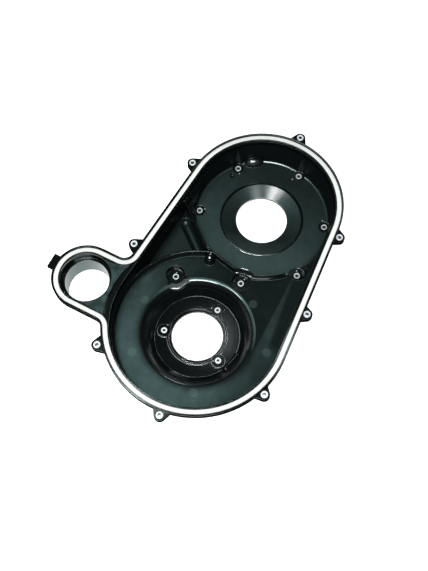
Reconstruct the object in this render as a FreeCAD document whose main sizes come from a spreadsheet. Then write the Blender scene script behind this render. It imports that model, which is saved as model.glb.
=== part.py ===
import FreeCAD, Part
import math
import os
import Sketcher
from FreeCAD import Placement, Rotation, Vector

# Inner cover of a belt-drive transmission, moulded in one piece, open side up.
# Millimetres. The origin is on the axis of the small-end bore, in the plane of the back collars that the
# cover rests on. X runs from the large end to the small end, Z from the back to the open side.

SIZES = {
    "centre_distance": 254.0,
    "small_end_radius": 141.4,
    "large_end_radius": 158.0,
    # Rim: a flange with two lips and the seal's groove between them.
    "rim_top": 82.0,
    "flange_depth": 13.0,
    "outer_lip": 3.2,
    "groove_width": 8.6,
    "groove_depth": 6.5,
    "inner_lip": 2.7,
    "inner_lip_drop": 1.5,
    "wall": 4.0,
    "draft": 3.0,
    # Floors, measured from the resting plane.
    "small_floor": 16.0,
    "dish_floor": 34.0,
    "triangle_floor": 22.0,
    "plate_floor": 9.0,
    "floor_thickness": 4.0,
    "floor_fillet": 5.0,
    # Small end: funnel, bore and back collar.
    "small_bore_radius": 46.9,
    "funnel_width": 27.1,
    "funnel_step": 1.5,
    "funnel_groove": 2.2,
    "funnel_groove_depth": 3.0,
    "funnel_edge_fillet": 1.2,
    "funnel_throat": 10.0,
    "bore_edge": 5.0,
    "collar_gap": 5.0,
    "collar_width": 7.0,
    # Large end: dish recess, plate, ring with three ears, bore.
    "large_bore_radius": 44.6,
    "dish_inset": 63.0,
    "dish_slope": 20.5,
    "dish_fillet": 6.0,
    "ring_width": 8.4,
    "ring_height": 3.0,
    "ring_shelf_width": 4.9,
    "ring_shelf_drop": 1.0,
    "ear_radius": 12.0,
    "ear_back_radius": 9.5,
    "hub_insert_offset": 13.7,
    # Duct socket on the +Y side.
    "duct_x": -267.5,
    "duct_reach": 47.0,
    "duct_rim_radius": 58.0,
    "duct_bore_radius": 38.1,
    "duct_tube_wall": 3.5,
    "duct_tube_length": 39.0,
    "duct_shelf": 61.5,
    "duct_corner_floor": 76.0,
    "duct_root_fillet": 16.0,
    "partition": 5.0,
    "partition_groove": 3.0,
    "partition_groove_depth": 5.0,
    "tab_width": 26.0,
    "tab_reach": 10.5,
    "tab_height": 9.0,
    # Ribs between the floors.
    "rib": 3.0,
    "rib_top": 53.0,
    "arc_rib_inset": 16.5,
    "straight_rib_inset": 21.0,
    "trough_radius": 9.8,
    "trough_skin": 2.9,
    "trough_gap": 0.2,
    "post_radius": 8.5,
    "post_top": 53.0,
    "post_flare": 12.0,
    # Rounded forms on the floors.
    "finger_radius": 7.0,
    "finger_height": 12.5,
    "ridge_height": 3.5,
    "ridge_offset": 3.9,
    "bulge_depth": 9.5,
    "bulge_width": 19.0,
    "bulge_height": 15.0,
    "pit_radius": 5.0,
    "pit_wall": 4.0,
    # Mounting sleeves and their wells.
    "sleeve_inset": 25.8,
    "sleeve_radius": 5.5,
    "sleeve_hole_radius": 3.3,
    "sleeve_proud": 0.6,
    "sleeve_seat": 15.0,
    "relief_radius": 11.0,
    "dish_seat": 23.5,
    "well_radius": 15.5,
    "well_wall": 5.0,
    "well_draft": 8.0,
    "well_boss_radius": 28.5,
    "well_boss_drop": 3.0,
    "well_boss_round": 4.5,
    "well_mouth_radius": 19.0,
    "back_pad_radius": 10.5,
    # Rim lugs with their inserts.
    "lug_radius": 9.4,
    "lug_drop": 2.5,
    "lug_along_right": 167.7,
    "lug_along_left": 186.3,
    "lug_foot": 14.5,
    "lug_depth": 14.0,
    "lug_spread": 18.0,
    "lug_insert_radius": 6.0,
    "lug_insert_hole_radius": 2.9,
    "lug_insert_proud": 0.5,
    "hub_insert_radius": 5.3,
    "hub_insert_hole_radius": 2.5,
    # Seal.
    "seal_clearance": 0.15,
    "seal_height": 3.9,
    "seal_fillet": 1.2,
}


class Size:
    """A length with the expression that ties it to the sheet."""

    def __init__(self, value, text):
        self.value = value
        self.text = text

    def __add__(self, other):
        return combined(self, other, "+", self.value + as_size(other).value)

    def __sub__(self, other):
        return combined(self, other, "-", self.value - as_size(other).value)

    def __mul__(self, other):
        return combined(self, other, "*", self.value * as_size(other).value)

    def __truediv__(self, other):
        return combined(self, other, "/", self.value / as_size(other).value)


def as_size(thing):
    return thing if isinstance(thing, Size) else Size(float(thing), repr(float(thing)))


def combined(left, right, sign, value):
    return Size(value, "(%s %s %s)" % (left.text, sign, as_size(right).text))


doc = FreeCAD.newDocument("transmission_inner_cover")
sheet = doc.addObject("Spreadsheet::Sheet", "Sizes")
for row, name in enumerate(SIZES, start=1):
    sheet.set("A%d" % row, name)
    sheet.set("B%d" % row, str(SIZES[name]))
    sheet.setAlias("B%d" % row, name)
doc.recompute()


def size(name):
    return Size(SIZES[name], "Sizes." + name)


# Names used below for the sizes that several features share.
CENTRES = size("centre_distance")
RIM_TOP = size("rim_top")
FLANGE_BOTTOM = RIM_TOP - size("flange_depth")
GROOVE_INNER = size("outer_lip") + size("groove_width")
RIM_WIDTH = GROOVE_INNER + size("inner_lip")
WALL_INSET = RIM_WIDTH - size("wall")
SMALL_FLOOR = size("small_floor")
DISH_FLOOR = size("dish_floor")
THICK = size("floor_thickness")
LARGE_X = as_size(0.0) - CENTRES
SLOPE = (size("large_end_radius") - size("small_end_radius")) / CENTRES
LEAN = math.asin(SLOPE.value)
DRAFT = size("draft")
DUCT_Y = size("large_end_radius") + size("duct_reach")
FUNNEL_RADIUS = size("small_bore_radius") + size("funnel_width")
DISH_RADIUS = size("large_end_radius") - size("dish_inset")
PLATE_RADIUS = DISH_RADIUS - size("dish_slope")
RING_RADIUS = size("large_bore_radius") + size("ring_width")
RING_SHELF_RADIUS = size("large_bore_radius") + size("ring_shelf_width")
ARC_RIB_RADIUS = size("large_end_radius") - size("arc_rib_inset")
FULL_TURN = 360


def bind(item, prop, length):
    item.setExpression(prop, length.text)


def constrain(sketch, kind, *arguments):
    """Adds a constraint; a Size at the end is bound to the sheet."""
    if not isinstance(arguments[-1], Size):
        return sketch.addConstraint(Sketcher.Constraint(kind, *arguments))
    length = arguments[-1]
    index = sketch.addConstraint(Sketcher.Constraint(kind, *arguments[:-1], length.value))
    bind(sketch, "Constraints[%d]" % index, length)
    return index


def place_point(sketch, geometry, point, x, y):
    """Fixes a point of the sketch at (x, y) from its origin."""
    constrain(sketch, "DistanceX", -1, 1, geometry, point, as_size(x))
    constrain(sketch, "DistanceY", -1, 1, geometry, point, as_size(y))


def new_sketch(body, name, role="XY_Plane", height=None, shift=None):
    """A sketch on one of the body's own planes, raised by height and moved along X by shift."""
    plane = next(f for f in body.Origin.OriginFeatures if f.Role == role)
    sketch = body.newObject("Sketcher::SketchObject", name)
    sketch.AttachmentSupport = (plane, [""])
    sketch.MapMode = "FlatFace"
    if height is not None:
        bind(sketch, ".AttachmentOffset.Base.z", height)
    if shift is not None:
        bind(sketch, ".AttachmentOffset.Base.x", shift)
    return sketch


def new_body(name):
    body = doc.addObject("PartDesign::Body", name)
    body.Label = name
    return body


def arc(x, y, radius, start, end):
    circle = Part.Circle(Vector(x, y, 0), Vector(0, 0, 1), radius)
    return Part.ArcOfCircle(circle, start, end)


def line(start, end):
    return Part.LineSegment(Vector(start[0], start[1], 0), Vector(end[0], end[1], 0))


def add_circle(sketch, x, y, radius):
    index = sketch.addGeometry(Part.Circle(Vector(as_size(x).value, as_size(y).value, 0),
                                           Vector(0, 0, 1), radius.value))
    place_point(sketch, index, 3, x, y)
    constrain(sketch, "Radius", index, radius)
    return index


def add_polygon(sketch, points):
    """A closed outline of straight edges through points given as pairs of sizes."""
    first = sketch.GeometryCount
    pairs = [(as_size(x), as_size(y)) for x, y in points]
    for index, start in enumerate(pairs):
        end = pairs[(index + 1) % len(pairs)]
        sketch.addGeometry(line((start[0].value, start[1].value), (end[0].value, end[1].value)))
    for index, (x, y) in enumerate(pairs):
        before = first + (index - 1) % len(pairs)
        constrain(sketch, "Coincident", before, 2, first + index, 1)
        place_point(sketch, first + index, 1, x, y)
    return first


def add_hull(sketch, inset, ends=(0, 1)):
    """The chamber's outline: two unequal circles and their outer tangents, drawn inset from the rim."""
    small = size("small_end_radius") - inset
    large = size("large_end_radius") - inset
    nx, ny = math.sin(LEAN), math.cos(LEAN)
    up = math.atan2(ny, nx)
    first = sketch.GeometryCount
    far = LARGE_X.value
    sketch.addGeometry([
        arc(0, 0, small.value, -up, up),
        line((small.value * nx, small.value * ny), (far + large.value * nx, large.value * ny)),
        arc(far, 0, large.value, up, 2 * math.pi - up),
        line((far + large.value * nx, -large.value * ny), (small.value * nx, -small.value * ny)),
    ], False)
    for index in range(4):
        constrain(sketch, "Tangent", first + index, 2, first + (index + 1) % 4, 1)
    place_point(sketch, first, 3, 0.0, 0.0)
    place_point(sketch, first + 2, 3, LARGE_X, 0.0)
    constrain(sketch, "Radius", first, small)
    constrain(sketch, "Radius", first + 2, large)


def add_outline(sketch, inset):
    """The rim's outline with the duct socket, drawn inset from its outer edge."""
    small = size("small_end_radius") - inset
    large = size("large_end_radius") - inset
    duct = size("duct_rim_radius") - inset
    root = size("duct_root_fillet") + inset
    duct_x, duct_y = size("duct_x"), DUCT_Y
    nx, ny = math.sin(LEAN), math.cos(LEAN)
    up = math.atan2(ny, nx)
    far = LARGE_X.value
    right_x = duct_x.value + duct.value
    right_root = (right_x + root.value, (small.value + root.value - nx * (right_x + root.value)) / ny)
    left_x = duct_x.value - duct.value
    reach = large.value + root.value
    left_root = (left_x - root.value, math.sqrt(reach ** 2 - (left_x - root.value - far) ** 2))
    turn = math.atan2(left_root[1], left_root[0] - far)
    first = sketch.GeometryCount
    sketch.addGeometry([
        arc(0, 0, small.value, -up, up),
        line((small.value * nx, small.value * ny),
             (right_root[0] - root.value * nx, right_root[1] - root.value * ny)),
        arc(right_root[0], right_root[1], root.value, math.pi, math.pi + up),
        line((right_x, right_root[1]), (right_x, duct_y.value)),
        arc(duct_x.value, duct_y.value, duct.value, 0, math.pi),
        line((left_x, duct_y.value), (left_x, left_root[1])),
        arc(left_root[0], left_root[1], root.value, turn - math.pi, 0),
        arc(far, 0, large.value, turn, 2 * math.pi - up),
        line((far + large.value * nx, -large.value * ny), (small.value * nx, -small.value * ny)),
    ], False)
    joints = [(0, 2, 1, 1), (1, 2, 2, 2), (2, 1, 3, 1), (3, 2, 4, 1), (4, 2, 5, 1), (5, 2, 6, 2),
              (6, 1, 7, 1), (7, 2, 8, 1), (8, 2, 0, 1)]
    for one, end, other, start in joints:
        constrain(sketch, "Tangent", first + one, end, first + other, start)
    constrain(sketch, "Tangent", first + 1, first + 7)
    constrain(sketch, "Vertical", first + 3)
    constrain(sketch, "Vertical", first + 5)
    place_point(sketch, first, 3, 0.0, 0.0)
    place_point(sketch, first + 7, 3, LARGE_X, 0.0)
    place_point(sketch, first + 4, 3, duct_x, duct_y)
    for index, radius in ((0, small), (2, root), (4, duct), (6, root), (7, large)):
        constrain(sketch, "Radius", first + index, radius)


def pad(body, name, sketch, length, down=False, taper=None):
    feature = body.newObject("PartDesign::Pad", name)
    feature.Profile = sketch
    feature.Refine = False
    bind(feature, "Length", length)
    feature.Reversed = down
    if taper is not None:
        bind(feature, "TaperAngle", taper)
    return feature


def pocket(body, name, sketch, depth, taper=None):
    feature = body.newObject("PartDesign::Pocket", name)
    feature.Profile = sketch
    feature.Refine = False
    bind(feature, "Length", depth)
    if taper is not None:
        bind(feature, "TaperAngle", taper)
    return feature


def turned(body, kind, name, points, centre_x=None):
    """A Revolution or Groove of a closed (radius, height) outline about an upright axis."""
    profile = new_sketch(body, name + "_profile", "XZ_Plane", shift=centre_x)
    add_polygon(profile, points)
    feature = body.newObject("PartDesign::" + kind, name)
    feature.Profile = profile
    feature.Refine = False
    feature.ReferenceAxis = (profile, ["V_Axis"])
    feature.Angle = FULL_TURN
    return feature


def level_edges(feature, height, keep=lambda centre: True):
    """Names of a feature's edges that lie flat at a height and whose centre is kept."""
    names = []
    for index, edge in enumerate(feature.Shape.Edges):
        box = edge.BoundBox
        if max(abs(box.ZMin - height.value), abs(box.ZMax - height.value)) < 0.01 and keep(edge.CenterOfMass):
            names.append("Edge%d" % (index + 1))
    return names


def fillet(body, name, names, radius):
    base = body.Tip
    feature = body.newObject("PartDesign::Fillet", name)
    feature.Base = (base, names)
    bind(feature, "Radius", radius)
    return feature


def polar(radius, degrees):
    angle = math.radians(degrees)
    return radius * math.cos(angle), radius * math.sin(angle)


def from_large(radius, degrees):
    x, y = polar(radius, degrees)
    return LARGE_X.value + x, y


def by_small_rim(inset, degrees):
    """A point set inward of the small end's outer edge, at an angle about its axis."""
    return polar(SIZES["small_end_radius"] - inset, degrees)


def by_large_rim(inset, degrees):
    return from_large(SIZES["large_end_radius"] - inset, degrees)


def by_long_wall(side, along, out):
    """A point beside a long straight rim edge: side 1 or -1, a distance along from the small-end axis."""
    reach = SIZES["small_end_radius"] + out
    nx, ny = math.sin(LEAN), side * math.cos(LEAN)
    return reach * nx - along * abs(ny), reach * ny + along * side * nx


SMALL_SLEEVES = [by_small_rim(SIZES["sleeve_inset"], angle) for angle in (48.5, -11.5, 108.5, -71.5)]
EDGE_SLEEVE = by_small_rim(11.6, -125.0)
DISH_SLEEVES = [by_large_rim(38.2, -12.3), by_large_rim(45.3, 47.3)]
HUB_CIRCLE = SIZES["large_bore_radius"] + SIZES["hub_insert_offset"]
HUB_INSERTS = [from_large(HUB_CIRCLE, angle) for angle in (108.0, -10.0, -114.4)]
# Lug centre and the direction it points away from the rim
WALL_OUT = 90.0 - math.degrees(LEAN)
LUGS = [(by_small_rim(-8.3, 84.75), WALL_OUT), (by_small_rim(-9.4, -0.7), -0.7),
        (by_small_rim(-6.3, -91.2), -91.0), (by_long_wall(-1, SIZES["lug_along_right"], 4.9), -WALL_OUT),
        (by_large_rim(-6.3, -110.75), -110.8), (by_large_rim(-6.8, 187.5), 187.5),
        (by_large_rim(-8.0, 130.9), 130.9), (by_long_wall(1, SIZES["lug_along_left"], 9.1), WALL_OUT)]

DISH_UNDER = DISH_FLOOR - THICK
SMALL_UNDER = SMALL_FLOOR - THICK
PLATE_UNDER = size("plate_floor") - THICK
INNER_LIP_TOP = RIM_TOP - size("inner_lip_drop")
CORNER_FLOOR = size("duct_corner_floor")
SHELF = size("duct_shelf")
RIB_TOP = size("rib_top")
TRIANGLE_FLOOR = size("triangle_floor")
TRIANGLE_UNDER = TRIANGLE_FLOOR - THICK
SEAT = size("sleeve_seat")
DISH_SEAT = size("dish_seat")
LUG_TOP = RIM_TOP - size("lug_drop")
LUG_BOTTOM = RIM_TOP - size("lug_depth")
DRAFT_RATE = Size(math.tan(math.radians(DRAFT.value)), "tan(%s * 1deg)" % DRAFT.text)
INWARD = as_size(0.0) - DRAFT


def drift(height):
    """How far a drafted wall has moved in over a height."""
    return height * DRAFT_RATE


def add_discs(sketch, centres, radius):
    for x, y in centres:
        add_circle(sketch, x, y, radius)


def disc_pad(name, centres, radius, top, bottom):
    sketch = new_sketch(housing, name + "_plan", height=top)
    add_discs(sketch, centres, radius)
    return pad(housing, name, sketch, top - bottom, down=True)


def disc_pocket(name, centres, radius, top, bottom, taper=None):
    """Round pockets whose side walls may lean inward with depth."""
    sketch = new_sketch(housing, name + "_plan", height=top)
    add_discs(sketch, centres, radius)
    return pocket(housing, name, sketch, top - bottom, taper)


def shape_pad(name, draw, top, bottom, taper=None):
    sketch = new_sketch(housing, name + "_plan", height=top)
    draw(sketch)
    return pad(housing, name, sketch, top - bottom, down=True, taper=taper)


def shape_pocket(name, draw, top, bottom, taper=None):
    sketch = new_sketch(housing, name + "_plan", height=top)
    draw(sketch)
    return pocket(housing, name, sketch, top - bottom, taper)


def draw_sector(inner, outer, start, end, centre_x=LARGE_X):
    """A ring sector about an upright axis at centre_x, angles in degrees."""
    def draw(sketch):
        middle = centre_x.value
        near, away = [[(middle + x, y) for x, y in (polar(radius.value, start), polar(radius.value, end))]
                      for radius in (inner, outer)]
        low, high = math.radians(start), math.radians(end)
        sketch.addGeometry([arc(middle, 0, inner.value, low, high), line(near[1], away[1]),
                            arc(middle, 0, outer.value, low, high), line(away[0], near[0])], False)
        for one, point, other, its_point in ((0, 2, 1, 1), (1, 2, 2, 2), (2, 1, 3, 1), (3, 2, 0, 1)):
            constrain(sketch, "Coincident", one, point, other, its_point)
        place_point(sketch, 0, 3, centre_x, 0.0)
        constrain(sketch, "Coincident", 2, 3, 0, 3)
        constrain(sketch, "Radius", 0, inner)
        constrain(sketch, "Radius", 2, outer)
        constrain(sketch, "DistanceX", -1, 1, 0, 1, as_size(near[0][0]))
        constrain(sketch, "DistanceX", -1, 1, 0, 2, as_size(near[1][0]))
        constrain(sketch, "DistanceX", -1, 1, 2, 1, as_size(away[0][0]))
        constrain(sketch, "DistanceX", -1, 1, 2, 2, as_size(away[1][0]))
    return draw


def tangent_to(centre, radius, point, side):
    """Where a line from point touches a circle; side is 1 or -1."""
    dx, dy = point[0] - centre[0], point[1] - centre[1]
    turn = math.atan2(dy, dx) + side * math.acos(radius / math.hypot(dx, dy))
    return centre[0] + radius * math.cos(turn), centre[1] + radius * math.sin(turn), turn


def draw_lug(x, y, degrees):
    """A round lug with straight webs that run out along the rim."""
    def draw(sketch):
        radius = size("lug_radius")
        out = math.radians(degrees)
        spread = SIZES["lug_spread"]
        foot = SIZES["lug_foot"]
        base = (x - foot * math.cos(out), y - foot * math.sin(out))
        right = (base[0] + spread * math.sin(out), base[1] - spread * math.cos(out))
        left = (base[0] - spread * math.sin(out), base[1] + spread * math.cos(out))
        first = tangent_to((x, y), radius.value, right, 1)
        last = tangent_to((x, y), radius.value, left, -1)
        sketch.addGeometry([arc(x, y, radius.value, first[2], last[2]), line(last[:2], left),
                            line(left, right), line(right, first[:2])], False)
        constrain(sketch, "Tangent", 0, 2, 1, 1)
        constrain(sketch, "Coincident", 1, 2, 2, 1)
        constrain(sketch, "Coincident", 2, 2, 3, 1)
        constrain(sketch, "Tangent", 3, 2, 0, 1)
        place_point(sketch, 0, 3, x, y)
        constrain(sketch, "Radius", 0, radius)
        place_point(sketch, 2, 1, left[0], left[1])
        place_point(sketch, 2, 2, right[0], right[1])
    return draw


def ball(name, x, y, z, radius):
    """The upper half of a ball fused into the housing, its centre at (x, y, z)."""
    feature = housing.newObject("PartDesign::AdditiveSphere", name)
    feature.Angle1 = 0
    feature.Refine = False
    bind(feature, "Radius", radius)
    for axis, length in zip("xyz", (x, y, z)):
        bind(feature, ".Placement.Base." + axis, as_size(length))
    return feature


def facing_line(distance, degrees):
    """A line as (normal, distance from the small-end axis)."""
    return math.cos(math.radians(degrees)), math.sin(math.radians(degrees)), distance


def crossing(one, two):
    det = one[0] * two[1] - two[0] * one[1]
    return (one[2] * two[1] - two[2] * one[1]) / det, (one[0] * two[2] - two[0] * one[2]) / det


RIB_B_ANGLE = 140.6
RIB_C_ANGLE = 168.0
POCKET_RADIUS = SIZES["small_end_radius"] - SIZES["straight_rib_inset"]
TRIANGLE_INSET = (RIM_WIDTH + drift(RIM_TOP - RIB_TOP)).value


def wall_line(inset):
    return facing_line(SIZES["small_end_radius"] - inset, WALL_OUT)


def rib_plan(near, far, inset, end_y):
    """The two straight ribs between the pockets as one bent strip."""
    b_near, b_far = facing_line(near, RIB_B_ANGLE), facing_line(far, RIB_B_ANGLE)
    c_near, c_far = facing_line(near, RIB_C_ANGLE), facing_line(far, RIB_C_ANGLE)
    top = wall_line(inset)
    low = (0.0, 1.0, end_y)
    return [crossing(b_near, top), crossing(b_near, c_near), crossing(c_near, low),
            crossing(c_far, low), crossing(b_far, c_far), crossing(b_far, top)]


def draw_triangle(sketch):
    """The triangular pocket between the long wall, the arc rib and the straight ribs."""
    radius = ARC_RIB_RADIUS + size("rib")
    top = wall_line(TRIANGLE_INSET)
    face = POCKET_RADIUS + SIZES["rib"]
    b_far, c_far = facing_line(face, RIB_B_ANGLE), facing_line(face, RIB_C_ANGLE)
    corner, bend = crossing(b_far, top), crossing(b_far, c_far)
    far = LARGE_X.value
    turn = math.radians(RIB_C_ANGLE) - math.acos((c_far[2] - c_far[0] * far) / radius.value)
    turn_high = math.radians(WALL_OUT) - math.acos((top[2] - top[0] * far) / radius.value)
    tip = (far + radius.value * math.cos(turn), radius.value * math.sin(turn))
    head = (far + radius.value * math.cos(turn_high), radius.value * math.sin(turn_high))
    sketch.addGeometry([arc(far, 0, radius.value, turn, turn_high), line(head, corner),
                        line(corner, bend), line(bend, tip)], False)
    constrain(sketch, "Coincident", 0, 2, 1, 1)
    constrain(sketch, "Coincident", 1, 2, 2, 1)
    constrain(sketch, "Coincident", 2, 2, 3, 1)
    constrain(sketch, "Coincident", 3, 2, 0, 1)
    place_point(sketch, 0, 3, LARGE_X, 0.0)
    constrain(sketch, "Radius", 0, radius)
    constrain(sketch, "DistanceX", -1, 1, 0, 2, as_size(head[0]))
    constrain(sketch, "DistanceX", -1, 1, 0, 1, as_size(tip[0]))
    place_point(sketch, 2, 1, corner[0], corner[1])
    place_point(sketch, 2, 2, bend[0], bend[1])


def triangle_under_plan():
    """The skin below the triangular pocket: its outline grown by the floor thickness, in short chords."""
    grow = SIZES["floor_thickness"]
    top = wall_line(13.5)
    face = POCKET_RADIUS + SIZES["rib"] - grow
    b_near, c_near = facing_line(face, RIB_B_ANGLE), facing_line(face, RIB_C_ANGLE)
    inner = ARC_RIB_RADIUS.value + SIZES["rib"] - grow
    chords = [from_large(inner, angle) for angle in range(82, 15, -11)]
    head = crossing(top, (1.0, 0.0, chords[0][0]))
    return [head] + chords + [crossing(c_near, (0.0, 1.0, 36.0)), crossing(b_near, c_near), crossing(b_near, top)]


TROUGH_LINE = POCKET_RADIUS + SIZES["rib"] + SIZES["trough_gap"] + SIZES["trough_radius"]


def trough_ends():
    """The ends of the trough's axis, clear of the arc rib and of the long wall by its radius."""
    along = facing_line(TROUGH_LINE, RIB_B_ANGLE)
    upper = crossing(along, wall_line(TRIANGLE_FACE + SIZES["trough_radius"]))
    reach = ARC_RIB_RADIUS.value + SIZES["rib"] + SIZES["trough_gap"] + SIZES["trough_radius"]
    foot = -LARGE_X.value * along[0] + along[2]
    beside = math.sqrt(reach ** 2 - foot ** 2)
    return (LARGE_X.value + foot * along[0] + beside * along[1], foot * along[1] - beside * along[0]), upper


TRIANGLE_FACE = (RIM_WIDTH + drift(RIM_TOP - TRIANGLE_FLOOR)).value + SIZES["trough_gap"]
TROUGH_ENDS = trough_ends()


def rod(name, ends, height, radius, kind):
    """A level rod with ball ends, added to the housing or cut from it."""
    (x, y), (far_x, far_y) = ends
    turn = Rotation(Vector(0, 0, 1), Vector(far_x - x, far_y - y, 0))
    for part, place in (("Cylinder", ends[0]), ("Sphere", ends[0]), ("Sphere", ends[1])):
        feature = housing.newObject("PartDesign::" + kind + part, name)
        feature.Refine = False
        bind(feature, "Radius", radius)
        if part == "Cylinder":
            bind(feature, "Height", as_size(math.hypot(far_x - x, far_y - y)))
            feature.Placement = Placement(Vector(0, 0, 0), turn)
        for axis, length in zip("xyz", (place[0], place[1], height)):
            bind(feature, ".Placement.Base." + axis, as_size(length))


housing = new_body("housing")

# Rim flange, its eight lugs and the tab on the duct socket
shape_pad("flange", lambda sketch: add_outline(sketch, as_size(0.0)), RIM_TOP, FLANGE_BOTTOM)
for number, (place, degrees) in enumerate(LUGS, 1):
    shape_pad("lug_%d" % number, draw_lug(place[0], place[1], degrees), LUG_TOP, LUG_BOTTOM)
TAB_TOP = RIM_TOP - 2.0
TAB_Y = DUCT_Y + size("duct_rim_radius")
TAB_HALF = size("tab_width") / 2.0
TAB_LEFT, TAB_RIGHT = size("duct_x") - TAB_HALF, size("duct_x") + TAB_HALF
TAB_ROOT = TAB_Y - 6.0
TAB_END = TAB_Y + size("tab_reach")
shape_pad("tab", lambda sketch: add_polygon(sketch, [(TAB_LEFT, TAB_ROOT), (TAB_RIGHT, TAB_ROOT),
                                                     (TAB_RIGHT, TAB_END), (TAB_LEFT, TAB_END)]),
          TAB_TOP, TAB_TOP - size("tab_height"))

# Corners of the duct socket and the partition between the socket and the chamber
shape_pocket("duct_corners", lambda sketch: add_outline(sketch, RIM_WIDTH), RIM_TOP, CORNER_FLOOR)
disc_pad("partition", [(LARGE_X, 0.0)], size("large_end_radius") - size("partition"), INNER_LIP_TOP, CORNER_FLOOR)

# Outer walls and undersides
DRUM_TOP_RADIUS = size("small_end_radius") - WALL_INSET - drift(FLANGE_BOTTOM - DISH_UNDER)
shape_pad("walls", lambda sketch: add_hull(sketch, WALL_INSET), FLANGE_BOTTOM, DISH_UNDER, INWARD)
sketch = new_sketch(housing, "drum_plan", height=DISH_UNDER)
add_circle(sketch, 0.0, 0.0, DRUM_TOP_RADIUS)
pad(housing, "drum", sketch, DISH_UNDER - SMALL_UNDER, down=True, taper=INWARD)
shape_pad("triangle_under", lambda sketch: add_polygon(sketch, triangle_under_plan()), DISH_UNDER, TRIANGLE_UNDER)
WELL_OUTER = size("well_radius") + size("well_wall")
disc_pad("edge_well_under", [EDGE_SLEEVE], WELL_OUTER, DISH_UNDER, SEAT - THICK)
disc_pad("dish_wells_under", DISH_SLEEVES, WELL_OUTER, DISH_UNDER, DISH_SEAT - THICK)
rod("trough_under", TROUGH_ENDS, TRIANGLE_FLOOR, size("trough_radius") + size("trough_skin"), "Additive")
DUCT = [(size("duct_x"), DUCT_Y)]
SOCKET_RADIUS = size("duct_rim_radius") - RIM_WIDTH
disc_pad("socket_under", DUCT, SOCKET_RADIUS + THICK, FLANGE_BOTTOM, SHELF - THICK)
disc_pad("duct_tube", DUCT, size("duct_bore_radius") + size("duct_tube_wall"), SHELF - THICK,
         SHELF - size("duct_tube_length"))

# Thick parts about the two bores with their back collars
SMALL_COLLAR = size("small_bore_radius") + size("collar_gap")
SMALL_COLLAR_OUT = SMALL_COLLAR + size("collar_width")
LARGE_COLLAR = size("large_bore_radius") + size("collar_gap")
LARGE_COLLAR_OUT = LARGE_COLLAR + size("collar_width")
THROAT = size("funnel_throat")
COLLAR_ROOT = THROAT - size("bore_edge")
turned(housing, "Revolution", "small_back", [
    (40.0, SMALL_FLOOR), (78.0, SMALL_FLOOR), (78.0, SMALL_UNDER), (FUNNEL_RADIUS, COLLAR_ROOT + 4.0),
    (SMALL_COLLAR_OUT, COLLAR_ROOT + 2.0), (SMALL_COLLAR_OUT, 0.0), (SMALL_COLLAR, 0.0),
    (SMALL_COLLAR, COLLAR_ROOT), (40.0, COLLAR_ROOT)])
turned(housing, "Revolution", "large_back", [
    (40.0, DISH_FLOOR), (101.0, DISH_FLOOR), (101.0, DISH_UNDER), (DISH_RADIUS + 1.0, DISH_UNDER),
    (PLATE_RADIUS + 4.0, PLATE_UNDER), (LARGE_COLLAR_OUT, PLATE_UNDER), (LARGE_COLLAR_OUT, 0.0),
    (LARGE_COLLAR, 0.0), (LARGE_COLLAR, PLATE_UNDER - 1.0), (40.0, PLATE_UNDER - 1.0)], centre_x=LARGE_X)
PAD_RADIUS = size("back_pad_radius")
disc_pad("small_back_pads", SMALL_SLEEVES, PAD_RADIUS, SMALL_FLOOR, as_size(0.0))
disc_pad("edge_back_pad", [EDGE_SLEEVE], PAD_RADIUS, SEAT, as_size(0.0))
disc_pad("dish_back_pads", DISH_SLEEVES, PAD_RADIUS, DISH_SEAT, as_size(0.0))
disc_pad("hub_back_pads", HUB_INSERTS, size("ear_back_radius"), size("plate_floor"), as_size(0.0))

# The small-end pocket and the chamber above the dish floor, both drafted, with rounded floor edges
SMALL_TOP = size("small_end_radius") - RIM_WIDTH
turned(housing, "Groove", "small_pocket", [
    (0.0, RIM_TOP), (SMALL_TOP, RIM_TOP), (SMALL_TOP - drift(RIM_TOP - SMALL_FLOOR), SMALL_FLOOR),
    (0.0, SMALL_FLOOR)])
doc.recompute()
fillet(housing, "small_floor_fillet", level_edges(housing.Tip, SMALL_FLOOR), size("floor_fillet"))
shape_pocket("chamber", lambda sketch: add_hull(sketch, RIM_WIDTH), RIM_TOP, DISH_FLOOR, INWARD)
doc.recompute()
fillet(housing, "dish_floor_fillet", level_edges(housing.Tip, DISH_FLOOR), size("floor_fillet") - 1.0)

# Ribs between the small-end pocket, the triangular pocket and the dish
BLOCK_FACE = POCKET_RADIUS + 7.6
RIB_FACE = POCKET_RADIUS + SIZES["rib"]
RIB_END_Y = -10.0
RIB_FOOT = SMALL_FLOOR - 2.0
BURIED = 13.0
shape_pad("rib_foot", lambda sketch: add_polygon(sketch, rib_plan(POCKET_RADIUS, BLOCK_FACE, BURIED, RIB_END_Y)),
          DISH_FLOOR, RIB_FOOT)
shape_pad("straight_ribs", lambda sketch: add_polygon(sketch, rib_plan(POCKET_RADIUS, RIB_FACE, BURIED, RIB_END_Y)),
          RIB_TOP, DISH_FLOOR - 1.0)
shape_pad("arc_rib", draw_sector(ARC_RIB_RADIUS, ARC_RIB_RADIUS + size("rib"), 14.5, 84.0),
          RIB_TOP, TRIANGLE_UNDER + 1.0)
shape_pocket("triangle", draw_triangle, RIB_TOP, TRIANGLE_FLOOR)
rod("trough", TROUGH_ENDS, TRIANGLE_FLOOR, size("trough_radius"), "Subtractive")

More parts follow.
